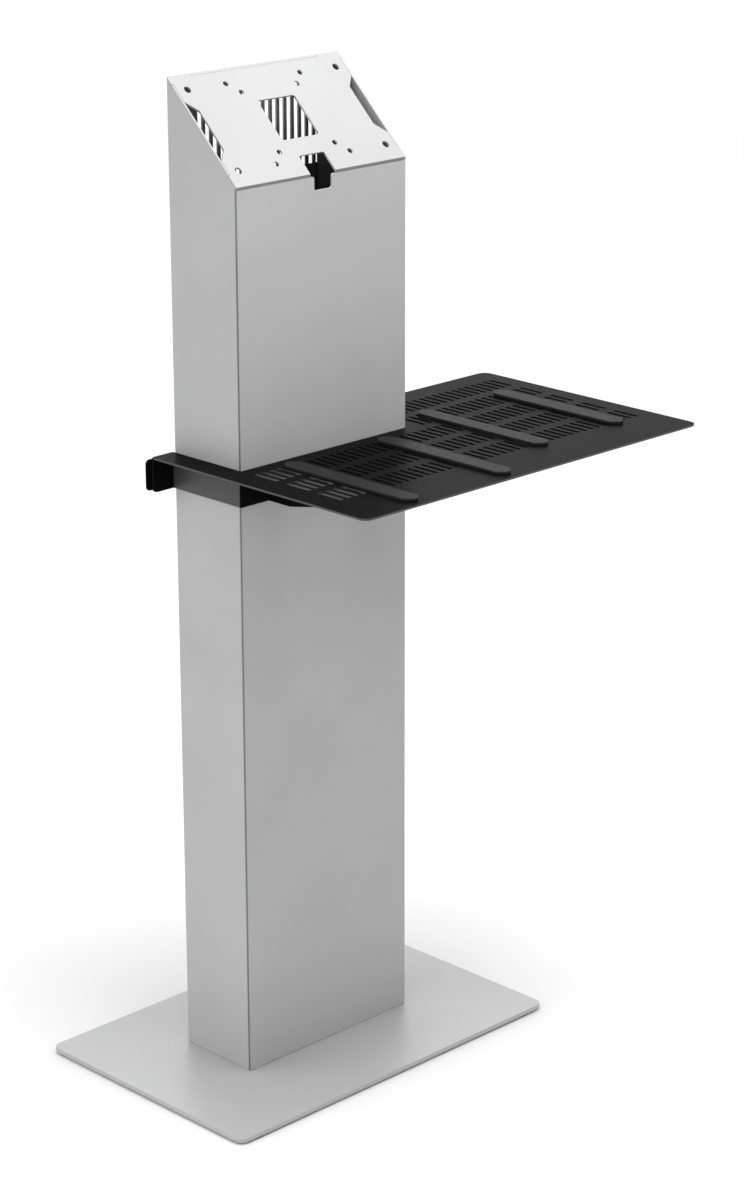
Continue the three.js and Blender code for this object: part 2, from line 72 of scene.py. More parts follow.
class Slot(Enum):
    """The record's material slots."""

    LIGHT = "light_powder_coat"
    BLACK = "black_powder_coat"
    PAD = "black_rubber"
    STRIP = "grey_rubber"
    ZINC = "zinc_steel"


class Body(Enum):
    """The rigid bodies of the frame."""

    COLUMN = "column"
    SHELF = "shelf"
    CLAMP = "clamp"


class Facing(Enum):
    """Which way a fastener's face looks, as the turn that brings +Z there."""

    DOWN = (math.pi, 0.0, 0.0)
    UP = (0.0, 0.0, 0.0)
    REAR = (-math.pi / 2, 0.0, 0.0)

    def matrix(self) -> Matrix:
        """Returns the rotation as a 4 x 4 matrix."""
        return Euler(self.value).to_matrix().to_4x4()


@dataclass(frozen=True)
class HeadSlope:
    """The plane of the head plate's upper face."""

    point: Point
    normal: Point

    @classmethod
    def measured(cls) -> "HeadSlope":
        """Finds the plane through the plate's upper front and rear edges.

        Returns:
            The plane.
        """
        low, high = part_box("head_plate")
        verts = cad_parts["head_plate"].data.vertices
        front_z = max(v.co.z for v in verts if v.co.y < low.y + TOUCH)
        run, rise = high.y - low.y, high.z - front_z
        length = math.hypot(run, rise)
        return cls((0.0, low.y, front_z), (0.0, -rise / length, run / length))


# ---- finishes ----------------------------------------------------------------------------
def shaded(colour: Colour, factor: float) -> Colour:
    """Returns the colour made lighter or darker by a factor."""
    return tuple(min(1.0, c * factor) for c in colour)


@dataclass(frozen=True)
class Grain:
    """A noise pattern: its size in metres, and how many finer octaves it holds."""

    size: float
    detail: float = 2.0


class NodeSketch:
    """A new material's node tree, with short calls for the nodes that the finishes share.

    The noise value's useful middle lies between noise_low and noise_high.
    """

    noise_low: float = 0.3
    noise_high: float = 0.7

    def __init__(self, name: str) -> None:
        """Starts an empty node material with a principled shader.

        Args:
            name: The material's name.
        """
        self.material = bpy.data.materials.new(name)
        self.material.use_nodes = True
        self.tree = self.material.node_tree
        self.shader = self.tree.nodes["Principled BSDF"]
        self.place = self.tree.nodes.new("ShaderNodeTexCoord").outputs["Object"]

    def noise(self, grain: Grain) -> Socket:
        """Adds a noise pattern.

        Args:
            grain: The pattern.

        Returns:
            The noise value, about 0.5 on average.
        """
        node = self.tree.nodes.new("ShaderNodeTexNoise")
        node.inputs["Scale"].default_value = 1.0 / grain.size
        node.inputs["Detail"].default_value = grain.detail
        self.tree.links.new(self.place, node.inputs["Vector"])
        return node.outputs["Fac"]

    def spread(self, grain: Grain, low: float, high: float) -> Socket:
        """Adds a noise pattern and maps its useful middle to a range.

        Args:
            grain: The pattern.
            low: The result at the noise's low end.
            high: The result at its high end.

        Returns:
            The mapped value.
        """
        value = self.noise(grain)
        node = self.tree.nodes.new("ShaderNodeMapRange")
        node.inputs["From Min"].default_value = self.noise_low
        node.inputs["From Max"].default_value = self.noise_high
        node.inputs["To Min"].default_value = low
        node.inputs["To Max"].default_value = high
        self.tree.links.new(value, node.inputs["Value"])
        return node.outputs["Result"]

    def fade_below(self, slope: HeadSlope, near: float, far: float) -> Socket:
        """Adds a soft step with the depth below a plane.

        Args:
            slope: The plane.
            near: The depth where the step starts.
            far: The depth where it ends.

        Returns:
            The step, from 1 above near to 0 below far.
        """
        offset = self.tree.nodes.new("ShaderNodeVectorMath")
        offset.operation = "SUBTRACT"
        offset.inputs[1].default_value = slope.point
        self.tree.links.new(self.place, offset.inputs[0])
        height = self.tree.nodes.new("ShaderNodeVectorMath")
        height.operation = "DOT_PRODUCT"
        height.inputs[1].default_value = slope.normal
        self.tree.links.new(offset.outputs["Vector"], height.inputs[0])
        fade = self.tree.nodes.new("ShaderNodeMapRange")
        fade.interpolation_type = "SMOOTHSTEP"
        fade.inputs["From Min"].default_value = -far
        fade.inputs["From Max"].default_value = -near
        self.tree.links.new(height.outputs["Value"], fade.inputs["Value"])
        return fade.outputs["Result"]

    def blend(self, share: Socket, first: Colour, second: Colour) -> None:
        """Drives the base colour with two colours mixed by a pattern.

        Args:
            share: The pattern, 0 for the first colour and 1 for the second.
            first: The first colour.
            second: The second colour.
        """
        node = self.tree.nodes.new("ShaderNodeMix")
        node.data_type = "RGBA"
        node.inputs["A"].default_value = (*first, 1.0)
        node.inputs["B"].default_value = (*second, 1.0)
        self.tree.links.new(share, node.inputs["Factor"])
        self.tree.links.new(node.outputs["Result"], self.shader.inputs["Base Color"])

    def vary_tone(self, colour: Colour, grain: Grain, dark: float, light: float) -> None:
        """Drives the base colour between two shades of one colour.

        Args:
            colour: The middle colour.
            grain: The pattern that mixes the shades.
            dark: The darker shade's factor.
            light: The lighter shade's factor.
        """
        share = self.spread(grain, 0.0, 1.0)
        self.blend(share, shaded(colour, dark), shaded(colour, light))

    def vary_roughness(self, roughness: float, grain: Grain, less: float, more: float) -> None:
        """Drives the roughness with a pattern.

        Args:
            roughness: The middle roughness.
            grain: The pattern.
            less: How far it falls below the middle.
            more: How far it rises above it.
        """
        value = self.spread(grain, roughness - less, roughness + more)
        self.tree.links.new(value, self.shader.inputs["Roughness"])

    def bump(self, grain: Grain, depth: float, strength: float) -> None:
        """Adds a bump on top of those added before.

        Args:
            grain: The height pattern.
            depth: Its depth, in metres.
            strength: How strongly it shows, from 0 to 1.
        """
        height = self.noise(grain)
        node = self.tree.nodes.new("ShaderNodeBump")
        node.inputs["Strength"].default_value = strength
        node.inputs["Distance"].default_value = depth
        self.tree.links.new(height, node.inputs["Height"])
        before = self.shader.inputs["Normal"]
        if before.is_linked:
            self.tree.links.new(before.links[0].from_socket, node.inputs["Normal"])
        self.tree.links.new(node.outputs["Normal"], before)

    def fix(self, **values: float) -> None:
        """Sets uniform values on the shader's own sockets, named with underscores for spaces."""
        for name, value in values.items():
            self.shader.inputs[name.replace("_", " ")].default_value = value


@dataclass(frozen=True)
class PowderCoat:
    """A baked powder coat: a fine orange peel with slight unevenness in tone and gloss.

    A shallow wave lies over the peel, wave_width times as wide and wave_depth times as deep.
    """

    name: str
    colour: Colour
    roughness: float
    gloss: float
    peel: float = 0.0009
    peel_depth: float = 0.00006
    peel_strength: float = 0.35
    wave_width: float = 7.0
    wave_depth: float = 2.0
    wave_strength: float = 0.12
    tone: float = 0.03
    uneven: float = 0.04
    cloud: Grain = Grain(0.12, 3.0)
    patch: Grain = Grain(0.004, 3.0)

    def material(self) -> bpy.types.Material:
        """Builds the finish.

        Returns:
            The node material.
        """
        sketch = NodeSketch(self.name)
        sketch.vary_tone(self.colour, self.cloud, 1.0 - self.tone, 1.0 + self.tone)
        sketch.vary_roughness(self.roughness, self.patch, self.uneven, self.uneven)
        sketch.bump(Grain(self.peel, 1.0), self.peel_depth, self.peel_strength)
        wave = Grain(self.peel * self.wave_width, 1.0)
        sketch.bump(wave, self.peel_depth * self.wave_depth, self.wave_strength)
        sketch.fix(Specular_IOR_Level=self.gloss)
        return sketch.material


@dataclass(frozen=True)
class DepthShade:
    """The column's inside: painted shade that darkens with the depth below the head plate."""

    name: str
    painted: Colour
    # the painted shade deep inside the column
    deep_shade: Colour
    slope: HeadSlope
    near: float = 0.012
    far: float = 0.085
    roughness: float = 0.6
    uneven: float = 0.06
    gloss: float = 0.3
    patch: Grain = Grain(0.006, 3.0)
    dust: Grain = Grain(0.0012)
    dust_depth: float = 0.00008
    dust_strength: float = 0.3

    def material(self) -> bpy.types.Material:
        """Builds the finish.

        Returns:
            The node material.
        """
        sketch = NodeSketch(self.name)
        sketch.blend(sketch.fade_below(self.slope, self.near, self.far), self.deep_shade, self.painted)
        sketch.vary_roughness(self.roughness, self.patch, self.uneven, self.uneven)
        sketch.bump(self.dust, self.dust_depth, self.dust_strength)
        sketch.fix(Specular_IOR_Level=self.gloss)
        return sketch.material


@dataclass(frozen=True)
class MouldedRubber:
    """Moulded rubber: matt, finely pitted, with a faint bloom."""

    name: str
    colour: Colour
    roughness: float = 0.7
    uneven: float = 0.06
    gloss: float = 0.35
    dark: float = 0.9
    light: float = 1.12
    bloom: Grain = Grain(0.02, 4.0)
    patch: Grain = Grain(0.003)
    pits: Grain = Grain(0.0006)
    pit_depth: float = 0.0001
    pit_strength: float = 0.4

    def material(self) -> bpy.types.Material:
        """Builds the finish.

        Returns:
            The node material.
        """
        sketch = NodeSketch(self.name)
        sketch.vary_tone(self.colour, self.bloom, self.dark, self.light)
        sketch.vary_roughness(self.roughness, self.patch, self.uneven, self.uneven)
        sketch.bump(self.pits, self.pit_depth, self.pit_strength)
        sketch.fix(Specular_IOR_Level=self.gloss)
        return sketch.material


@dataclass(frozen=True)
class ZincPlate:
    """Bright zinc plating over turned steel, with faint stains and fine tool marks."""

    name: str
    colour: Colour
    roughness: float = 0.3
    smoother: float = 0.08
    rougher: float = 0.12
    dark: float = 0.88
    light: float = 1.08
    stain: Grain = Grain(0.002, 3.0)
    patch: Grain = Grain(0.0012, 3.0)
    marks: Grain = Grain(0.0005)
    mark_depth: float = 0.00003
    mark_strength: float = 0.3

    def material(self) -> bpy.types.Material:
        """Builds the finish.

        Returns:
            The node material.
        """
        sketch = NodeSketch(self.name)
        sketch.vary_tone(self.colour, self.stain, self.dark, self.light)
        sketch.vary_roughness(self.roughness, self.patch, self.smoother, self.rougher)
        sketch.bump(self.marks, self.mark_depth, self.mark_strength)
        sketch.fix(Metallic=1.0)
        return sketch.material


class Coat(Enum):
    """The finishes in use, each with the record's slot that it belongs to."""

    LIGHT = ("light", Slot.LIGHT)
    # painted shade that darkens with depth inside the column
    INSIDE = ("inside", Slot.LIGHT)
    # painted shade on seam lines and in drilled holes
    CUT = ("cut", Slot.LIGHT)
    BLACK = ("black", Slot.BLACK)
    # satin black for the collar, and a painted highlight on the shelf's cut edges
    SATIN = ("satin", Slot.BLACK)
    PAD = ("pad", Slot.PAD)
    STRIP = ("strip", Slot.STRIP)
    ZINC = ("zinc", Slot.ZINC)

    @property
    def slot(self) -> Slot:
        """Returns the record's slot."""
        return self.value[1]


class Finishes:
    """Every finish of the stand, made once and shared by its pieces."""

    light_tone: Colour = (0.34, 0.34, 0.343)
    # painted shade deep inside the column
    deep_shade_tone: Colour = (0.05, 0.05, 0.051)
    # painted shade for seam lines at cut edges and inside drilled holes
    seam_shade_tone: Colour = (0.14, 0.14, 0.1405)
    black_tone: Colour = (0.004, 0.004, 0.0042)
    # satin black for the collar, also a painted highlight on the shelf's cut edges
    satin_and_highlight_tone: Colour = (0.042, 0.042, 0.0425)
    pad_tone: Colour = (0.014, 0.014, 0.014)
    strip_tone: Colour = (0.016, 0.016, 0.0165)
    zinc_tone: Colour = (0.55, 0.56, 0.58)

    def __init__(self, slope: HeadSlope) -> None:
        """Makes the materials.

        Args:
            slope: The head plate's plane, which the painted shade inside the column follows.
        """
        makers = {
            Coat.LIGHT: PowderCoat("light_powder", self.light_tone, 0.42, 0.5),
            Coat.INSIDE: DepthShade("inside_painted_shade", self.light_tone, self.deep_shade_tone, slope),
            Coat.CUT: PowderCoat("painted_seam_shade", self.seam_shade_tone, 0.6, 0.3, peel=0.0006),
            Coat.BLACK: PowderCoat(
                "black_powder", self.black_tone, 0.42, 0.008, peel_depth=0.00005, tone=0.06
            ),
            Coat.SATIN: PowderCoat(
                "black_satin_painted_highlight", self.satin_and_highlight_tone, 0.36, 0.4, peel_depth=0.00004, tone=0.06
            ),
            Coat.PAD: MouldedRubber("pad_rubber", self.pad_tone),
            Coat.STRIP: MouldedRubber("strip_rubber", self.strip_tone, 0.5, gloss=0.03),
            Coat.ZINC: ZincPlate("zinc", self.zinc_tone),
        }
        self.materials = {coat: maker.material() for coat, maker in makers.items()}

    def __getitem__(self, coat: Coat) -> bpy.types.Material:
        """Returns the coat's material."""
        return self.materials[coat]


# ---- mesh work ---------------------------------------------------------------------------
EdgeTest = Callable[[bmesh.types.BMEdge], bool]
FaceTest = Callable[[bmesh.types.BMFace], bool]

MERGE = 2e-6  # how near two points are that become one
FLAT_DEG = 0.6  # the turn below which two faces become one
CORNER_DEG = 30.0  # the turn from which an edge can be rounded
SHARP_DEG = 42.0  # the turn from which an edge is shaded as sharp
PARALLEL = 0.999  # how far along an axis an edge goes if it is parallel to it
SQUARE_ON = 0.9  # how far along an axis a face's normal points if it looks that way


@dataclass(frozen=True)
class Rounding:
    """How one set of edges is rounded."""

    radius: float
    segments: int = 2
    chosen: EdgeTest | None = None


SHEARED = Rounding(0.0003)


def middle(edge: bmesh.types.BMEdge) -> Vector:
    """Returns an edge's middle."""
    return (edge.verts[0].co + edge.verts[1].co) / 2


def runs_along(edge: bmesh.types.BMEdge, axis: int) -> bool:
    """Tells whether an edge is parallel to an axis, 0 to 2 for X to Z."""
    way = (edge.verts[1].co - edge.verts[0].co).normalized()
    return abs(way[axis]) > PARALLEL


def is_corner(edge: bmesh.types.BMEdge, least_deg: float = CORNER_DEG) -> bool:
    """Tells whether two faces meet at an edge with at least that turn."""
    return len(edge.link_faces) == 2 and edge.calc_face_angle(0.0) > math.radians(least_deg)


@dataclass(frozen=True)
class ColumnShell:
    """Tells the column's inner faces from its outer ones.

    A face looks along an axis if its normal goes that way by more than facing. A face whose
    normal rises or falls by more than tilt counts as outer.
    """

    front: Point
    rear: Point
    margin: float = 0.0012
    facing: float = 0.5
    tilt: float = 0.2

    @classmethod
    def measured(cls) -> "ColumnShell":
        """Returns the shell between the front panel's and the rear panel's outer faces."""
        return cls(tuple(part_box("front_panel")[0]), tuple(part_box("rear_panel")[1]))

    def is_inside(self, face: bmesh.types.BMFace) -> bool:
        """Tells whether a face looks into the column or into a seam.

        Args:
            face: The face.

        Returns:
            Whether it does.
        """
        centre, normal = face.calc_center_median(), face.normal
        side, front, rear = self.front[0], self.front[1], self.rear[1]
        outward = (
            (normal.x < -self.facing and centre.x < side + self.margin)
            or (normal.x > self.facing and centre.x > -side - self.margin)
            or (normal.y < -self.facing and centre.y < front + self.margin)
            or (normal.y > self.facing and centre.y > rear - self.margin)
            or abs(normal.z) > self.tilt
        )
        return not outward


class Workshop:
    """Turns CAD nodes and drawn rings into finished pieces that ride on their bodies."""

    def __init__(self, finishes: Finishes) -> None:
        """Keeps the finishes.

        Args:
            finishes: The stand's materials.
        """
        self.finishes = finishes

    def settle(
        self,
        bm: bmesh.types.BMesh,
        name: str,
        body: Body,
        coat: Coat,
        nodes: Sequence[str] = (),
        even: bool = True,
        others: Sequence[tuple[Coat, FaceTest]] = (),
    ) -> bpy.types.Object:
        """Makes a piece from a mesh that is already in its place.

        Args:
            bm: The mesh, which is freed.
            name: The piece's name.
            body: The body it rides on.
            coat: Its finish.
            nodes: The CAD nodes it stands for.
            even: Whether big flat faces keep flat shading beside rounded edges.
            others: Further finishes, each with the test for the faces that take it.

        Returns:
            The finished object.
        """
        bmesh.ops.recalc_face_normals(bm, faces=bm.faces)
        for face in bm.faces:
            face.smooth = True
            taken = (i for i, (_, takes) in enumerate(others, 1) if takes(face))
            face.material_index = next(taken, 0)
        for edge in bm.edges:
            edge.smooth = not is_corner(edge, SHARP_DEG)
        mesh = bpy.data.meshes.new(name)
        bm.to_mesh(mesh)
        bm.free()
        for each in (coat, *(other for other, _ in others)):
            mesh.materials.append(self.finishes[each])
        piece = bpy.data.objects.new(name, mesh)
        bpy.context.scene.collection.objects.link(piece)
        if even:
            weighted = piece.modifiers.new("even_faces", "WEIGHTED_NORMAL")
            weighted.keep_sharp = True
        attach(piece, body.value)
        if nodes:
            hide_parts(*nodes)
        LOG.info("%s: %d faces on %s", name, len(mesh.polygons), body.value)
        return piece

    def sheet(
        self,
        node: str,
        name: str,
        body: Body,
        coat: Coat,
        roundings: Iterable[Rounding],
        *others: tuple[Coat, FaceTest],
    ) -> bpy.types.Object:
        """Copies a CAD sheet and rounds its folds and cut edges.

        Args:
            node: The CAD node.
            name: The new piece's name.
            body: The body it rides on.
            coat: Its finish.
            roundings: The roundings, made in this order.
            *others: Further finishes, each with the test for the faces that take it.

        Returns:
            The finished object.
        """
        bm = bmesh.new()
        bm.from_mesh(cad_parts[node].data)
        bmesh.ops.remove_doubles(bm, verts=bm.verts, dist=MERGE)
        flat = math.radians(FLAT_DEG)
        bmesh.ops.dissolve_limit(bm, angle_limit=flat, verts=bm.verts, edges=bm.edges)
        for rounding in roundings:
            test = rounding.chosen
            picked = [e for e in bm.edges if is_corner(e) and (test is None or test(e))]
            if not picked:
                continue
            bmesh.ops.bevel(
                bm,
                geom=picked,
                offset=rounding.radius,
                segments=rounding.segments,
                profile=0.5,
                affect="EDGES",
                clamp_overlap=True,
            )
        bmesh.ops.remove_doubles(bm, verts=bm.verts, dist=MERGE)
        bmesh.ops.dissolve_degenerate(bm, dist=MERGE, edges=bm.edges)
        return self.settle(bm, name, body, coat, [node], others=others)

    def fastener(
        self,
        bm: bmesh.types.BMesh,
        name: str,
        body: Body,
        coat: Coat,
        node: str,
        at: Point,
        facing: Facing,
    ) -> bpy.types.Object:
        """Brings a screw or nut that is drawn at the origin to its place and finishes it.

        Args:
            bm: The mesh, which is freed.
            name: The piece's name.
            body: The body it rides on.
            coat: Its finish.
            node: The CAD node it stands for.
            at: Where its origin goes.
            facing: Where its +Z goes.

        Returns:
            The finished object.
        """
        place = Matrix.Translation(at) @ facing.matrix()
        bmesh.ops.transform(bm, matrix=place, verts=bm.verts)
        return self.settle(bm, name, body, coat, [node])


# ---- fasteners and welds -----------------------------------------------------------------
FASTENER_POINTS = 36


def ring(radii: Sequence[float], height: float) -> list[Vector]:
    """Returns points round +Z, one for each radius."""
    turns = [i * (2 * math.pi / len(radii)) for i in range(len(radii))]
    return [Vector((r * math.cos(w), r * math.sin(w), height)) for r, w in zip(radii, turns)]


def circle(radius: float, height: float, count: int = FASTENER_POINTS) -> list[Vector]:
    """Returns a round ring of points."""
    return ring([radius] * count, height)


def hexagon_radii(flats: float) -> list[float]:
    """Lays a fastener's points on a hexagon's outline, its corners among them.

    Args:
        flats: The hexagon's width between two flats.

    Returns:
        The radius of each point.
    """
    step = 2 * math.pi / FASTENER_POINTS
    half = math.pi / 6
    turns = [(i * step) % (2 * half) - half for i in range(FASTENER_POINTS)]
    return [flats / 2 / math.cos(turn) for turn in turns]


def skin(rings: Sequence[Sequence[Vector]], closed: bool = False) -> bmesh.types.BMesh:
    """Joins rings of points into one surface.

    Args:
        rings: The rings, each with the same number of points.
        closed: Whether the last ring joins the first. If not, both ends are capped.

    Returns:
        The new mesh.
    """
    bm = bmesh.new()
    wrap(bm, rings, closed)
    return bm


def wrap(bm: bmesh.types.BMesh, rings: Sequence[Sequence[Vector]], closed: bool = False) -> None:
    """Adds one surface over rings of points to a mesh.

    Args:
        bm: The mesh.
        rings: The rings, each with the same number of points.
        closed: Whether the last ring joins the first. If not, both ends are capped.
    """
    loops = [[bm.verts.new(p) for p in points] for points in rings]
    pairs = list(zip(loops, loops[1:]))
    if closed:
        pairs.append((loops[-1], loops[0]))
    for lower, upper in pairs:
        for i in range(len(lower)):
            j = (i + 1) % len(lower)
            bm.faces.new((lower[i], lower[j], upper[j], upper[i]))
    if not closed:
        bm.faces.new(list(reversed(loops[0])))
        bm.faces.new(loops[-1])


def thread_rings(radius: float, top: float, bottom: float) -> list[list[Vector]]:
    """Draws a fine thread as grooves.

    Args:
        radius: The thread's outer radius.
        top: The height where it starts.
        bottom: The height where it ends, below top.

    Returns:
        The thread's rings, from top to bottom.
    """
    pitch, root = 0.0008, 0.88
    count = max(1, int((top - bottom) / pitch))
    step = (top - bottom) / count
    rings = []
    for i in range(count):
        z = top - i * step
        rings.append(circle(radius, z))
        rings.append(circle(radius * root, z - step / 2))
    return rings


@dataclass(frozen=True)
class SocketRecess:
    """A hexagonal recess for a key, with a chamfered lip and a drilled cone below its floor."""

    flats: float
    depth: float
    lip: float = 1.06
    lip_depth: float = 0.06
    cone_radius: float = 0.12
    cone_depth: float = 1.15

    def rings(self) -> list[list[Vector]]:
        """Draws the recess in a face at height 0.

        Returns:
            The rings, from its deepest to its mouth.
        """
        wall = hexagon_radii(self.flats)
        return [
            circle(self.flats * self.cone_radius, -self.depth * self.cone_depth),
            ring(wall, -self.depth),
            ring(wall, -self.flats * self.lip_depth),
            ring([r * self.lip for r in wall], 0.0),
        ]


@dataclass(frozen=True)
class CountersunkScrew:
    """A flat-headed screw with its head's face at the origin and its shank along -Z.

    The lengths in metres are radii or run along the axis. The others are shares of the
    head's or the shank's radius.
    """

    head: float
    shank: float
    length: float
    recess: SocketRecess
    plain_end: float = 0.0006
    edge: float = 0.96
    edge_depth: float = 0.05
    tip: float = 0.8

    def mesh(self) -> bmesh.types.BMesh:
        """Draws the screw, with its thread as fine grooves on the shank.

        Returns:
            The new mesh.
        """
        cone = self.head - self.shank
        return skin(
            [
                *self.recess.rings(),
                circle(self.head * self.edge, 0.0),
                circle(self.head, -self.head * self.edge_depth),
                circle(self.shank, -cone),
                *thread_rings(self.shank, -cone - self.plain_end, -self.length + self.plain_end),
                circle(self.shank * self.tip, -self.length),
            ]
        )


@dataclass(frozen=True)
class CapScrew:
    """A socket-head screw: the head's face at the origin, the shank along -Z.

    The head's radii are shares of its greatest radius. The knurl's start is such a share too,
    and its ends below are shares of the head's length.
    """

    head: float
    head_length: float
    shank: float
    length: float
    recess: SocketRecess
    top_edge: float = 0.9
    valley: float = 0.965
    foot: float = 0.93
    chamfer_depth: float = 0.09
    knurl_from: float = 0.14
    knurl_to: float = 0.8
    knurl_end: float = 0.88
    plain_start: float = 0.001
    plain_end: float = 0.0008
    tip: float = 0.78

    def mesh(self) -> bmesh.types.BMesh:
        """Draws the screw, with a knurled head and a grooved shank.

        Returns:
            The new mesh.
        """
        head, under = self.head, -self.head_length
        knurl = [head * (1.0 if i % 2 else self.valley) for i in range(FASTENER_POINTS)]
        end = under - self.length
        return skin(
            [
                *self.recess.rings(),
                circle(head * self.top_edge, 0.0),
                circle(head * self.valley, -head * self.chamfer_depth),
                ring(knurl, -head * self.knurl_from),
                ring(knurl, under * self.knurl_to),
                circle(head * self.valley, under * self.knurl_end),
                circle(head * self.foot, under),
                circle(self.shank, under),
                *thread_rings(self.shank, under - self.plain_start, end + self.plain_end),
                circle(self.shank * self.tip, end),
            ]
        )


@dataclass(frozen=True)
class HexNut:
    """A hexagonal nut with chamfered corners: one face at the origin, its body along +Z.

    The chamfer is a share of the thickness, face and side are shares of the width between
    flats, and mouth and mouth_depth are shares of the hole's radius.
    """

    flats: float
    thickness: float
    hole: float
    chamfer: float = 0.14
    face: float = 0.475
    side: float = 0.995
    mouth: float = 1.12
    mouth_depth: float = 0.12

    def mesh(self) -> bmesh.types.BMesh:
        """Draws the nut.

        Returns:
            The new mesh.
        """
        bevel = self.thickness * self.chamfer
        sink = self.hole * self.mouth_depth
        face = self.flats * self.face
        side = [r * self.side for r in hexagon_radii(self.flats)]
        rings = [
            circle(self.hole * self.mouth, 0.0),
            circle(face, 0.0),
            ring(side, bevel),
            ring(side, self.thickness - bevel),
            circle(face, self.thickness),
            circle(self.hole * self.mouth, self.thickness),
            circle(self.hole, self.thickness - sink),
            circle(self.hole, sink),
        ]
        return skin(rings, closed=True)


@dataclass(frozen=True)
class WeldSeam:
    """A short fillet weld: a round bead with ripples, between two points.

    Each ripple takes three rings. The bead's ends start at the radius times tip, and swell is
    how much a ripple adds to it.
    """

    start: Point
    end: Point
    radius: float = 0.0013
    ripple: float = 0.0016
    swell: float = 0.12
    tip: float = 0.35
    taper: float = 5.0
    sides: int = 8

    def mesh(self, bm: bmesh.types.BMesh) -> None:
        """Adds the bead to a mesh.

        Args:
            bm: The mesh that holds all the seams of a sub-assembly.
        """
        a, b = Vector(self.start), Vector(self.end)
        way = (b - a).normalized()
        across = way.orthogonal().normalized()
        up = way.cross(across)
        count = max(3, int((b - a).length / self.ripple * 3))
        turns = [k * (2 * math.pi / self.sides) for k in range(self.sides)]
        rings = []
        for i in range(count + 1):
            t = i / count
            thick = min(1.0, self.taper * t + self.tip, self.taper * (1.0 - t) + self.tip)
            r = self.radius * thick * (1.0 + self.swell * math.sin(2 * math.pi * i / 3))
            at = a.lerp(b, t)
            rings.append([at + (across * math.cos(w) + up * math.sin(w)) * r for w in turns])
        wrap(bm, rings)


def stitches(
    start: Point, end: Point, length: float = 0.022, gap: float = 0.03, fill: float = 0.7
) -> list[WeldSeam]:
    """Spreads stitch welds evenly along a line.

    Args:
        start: The line's start.
        end: Its end.
        length: How long each stitch is.
        gap: The least space between two stitches.
        fill: The most of its pitch that a stitch takes up.

    Returns:
        The stitches.
    """
    a, b = Vector(start), Vector(end)
    span = (b - a).length
    count = max(1, int((span + gap) / (length + gap)))
    pitch = span / count
    way = (b - a) / span
    half = way * min(length, pitch * fill) / 2
    centres = [a + way * pitch * (i + 0.5) for i in range(count)]
    return [WeldSeam(tuple(centre - half), tuple(centre + half)) for centre in centres]


# ---- sub-assemblies ----------------------------------------------------------------------
@dataclass
class Base:
    """The flat base plate on four rubber pads, with the column's foot screwed through it.

    A pad's hollow, its end and its middle are shares of the pad's radius, and pad_corner is a
    share of its rim.
    """

    shop: Workshop
    edge: float = 0.0006
    corners: int = 4
    pad_rim: float = 0.0007
    pad_corner: float = 0.3
    pad_hollow_depth: float = 0.0005
    pad_hollow: float = 0.55
    pad_hollow_end: float = 0.58
    pad_middle: float = 0.02
    pad_points: int = 64
    shank_share: float = 0.5
    nut_play: float = 0.0003
    recess: SocketRecess = SocketRecess(0.004, 0.0022)

    def build(self) -> None:
        """Builds the plate, its pads and the foot with its fasteners."""
        shop = self.shop
        edge = [Rounding(self.edge, 3)]
        shop.sheet("base_plate", "base_sheet", Body.COLUMN, Coat.LIGHT, edge)
        shop.sheet("foot_plate", "foot_sheet", Body.COLUMN, Coat.LIGHT, [SHEARED])
        for number in range(1, self.corners + 1):
            self.pad(number)
            self.screw_and_nut(number)

    def pad(self, number: int) -> None:
        """Builds one pad: a disc with a rounded rim and a shallow hollow in its foot.

        Args:
            number: The pad's number.
        """
        node = f"foot_pad_{number}"
        low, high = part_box(node)
        centre = (low + high) / 2
        r, rim, top = (high.x - low.x) / 2, self.pad_rim, high.z
        corner = rim * self.pad_corner
        profile = [
            (r * self.pad_middle, self.pad_hollow_depth),
            (r * self.pad_hollow, self.pad_hollow_depth),
            (r * self.pad_hollow_end, 0.0),
            (r - rim, 0.0),
            (r - corner, corner),
            (r, rim),
            (r, top - rim),
            (r - corner, top - corner),
            (r - rim, top),
            (r * self.pad_middle, top),
        ]
        bm = skin([circle(radius, z, self.pad_points) for radius, z in profile])
        bmesh.ops.translate(bm, verts=bm.verts, vec=(centre.x, centre.y, 0.0))
        self.shop.settle(bm, f"pad_{number}", Body.COLUMN, Coat.PAD, [node])

    def screw_and_nut(self, number: int) -> None:
        """Builds one countersunk screw that looks down, and its nut.

        Args:
            number: The fastener's number.
        """
        node = f"foot_screw_{number}"
        low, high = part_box(node)
        head = (high.x - low.x) / 2
        shank = head * self.shank_share
        x, y = (low.x + high.x) / 2, (low.y + high.y) / 2
        bm = CountersunkScrew(head, shank, high.z - low.z, self.recess).mesh()
        name, at = f"base_screw_{number}", (x, y, low.z)
        self.shop.fastener(bm, name, Body.COLUMN, Coat.ZINC, node, at, Facing.DOWN)
        node = f"foot_nut_{number}"
        low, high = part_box(node)
        bm = HexNut(high.y - low.y, high.z - low.z, shank + self.nut_play).mesh()
        name, at = f"base_nut_{number}", (x, y, low.z)
        self.shop.fastener(bm, name, Body.COLUMN, Coat.ZINC, node, at, Facing.UP)


